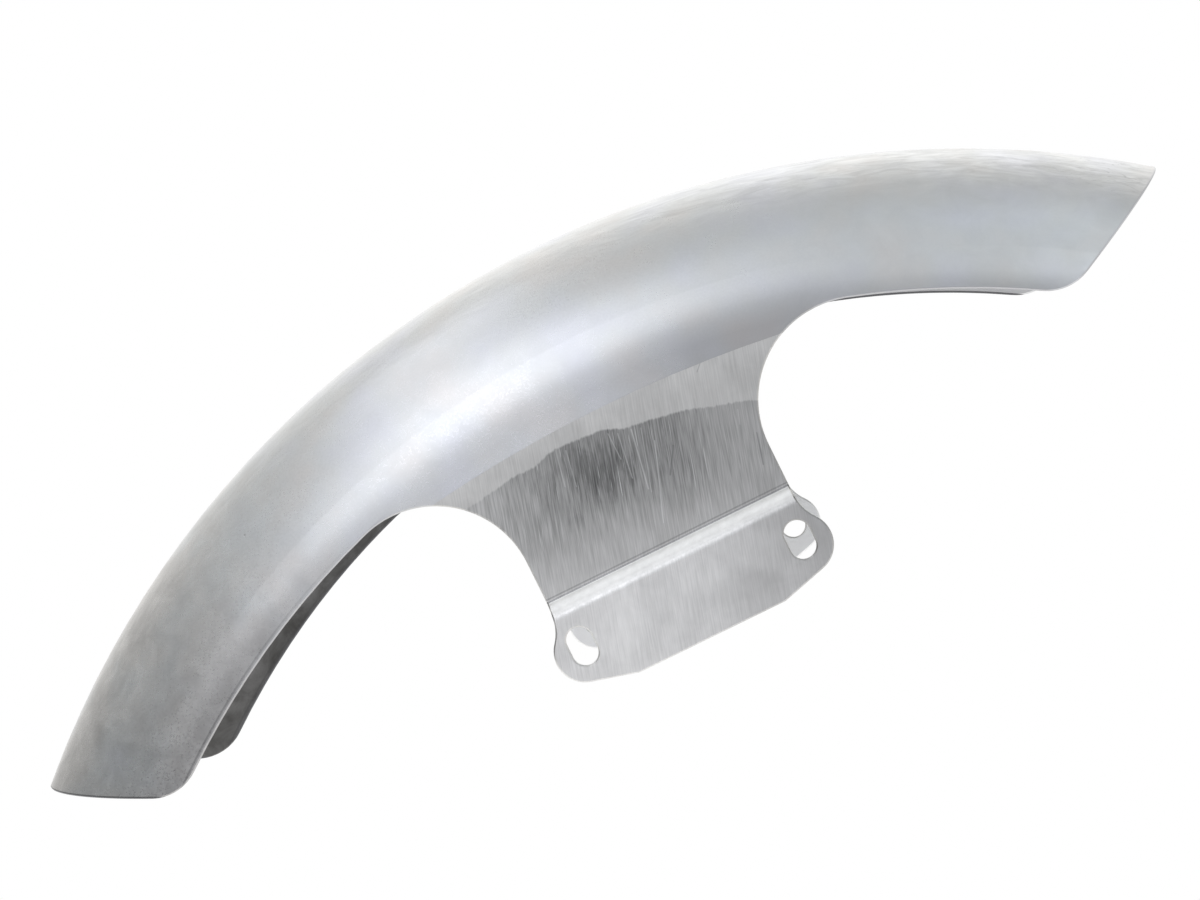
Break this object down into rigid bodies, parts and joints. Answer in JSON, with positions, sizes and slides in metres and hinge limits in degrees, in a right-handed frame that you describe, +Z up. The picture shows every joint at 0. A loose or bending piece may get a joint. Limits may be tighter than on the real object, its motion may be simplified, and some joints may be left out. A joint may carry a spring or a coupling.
{
  "type": "motorcycle front fender",
  "caption": "Short front fender: a half-round steel blade with raked ends and a joggled, slotted fork bracket welded flush to each side.",
  "frame": {"origin": "middle of the four fork bolt slots, half way between the two brackets", "axes": "+X forward on the motorcycle, +Y to the rider's left, +Z up, as mounted on a fork that leans back 26.3 degrees"},
  "size_m": [0.4081, 0.124, 0.2363],
  "materials": {
    "blade_steel": "raw pressed steel, blasted matt, edges deburred",
    "bracket_steel": "raw plate with a lengthwise mill grain and scratches, dressed smooth beside the weld"
  },
  "bodies": {
    "root": {"fender_blade": "blade_steel", "right_fork_bracket": "bracket_steel", "left_fork_bracket": "bracket_steel"}
  },
  "joints": []
}
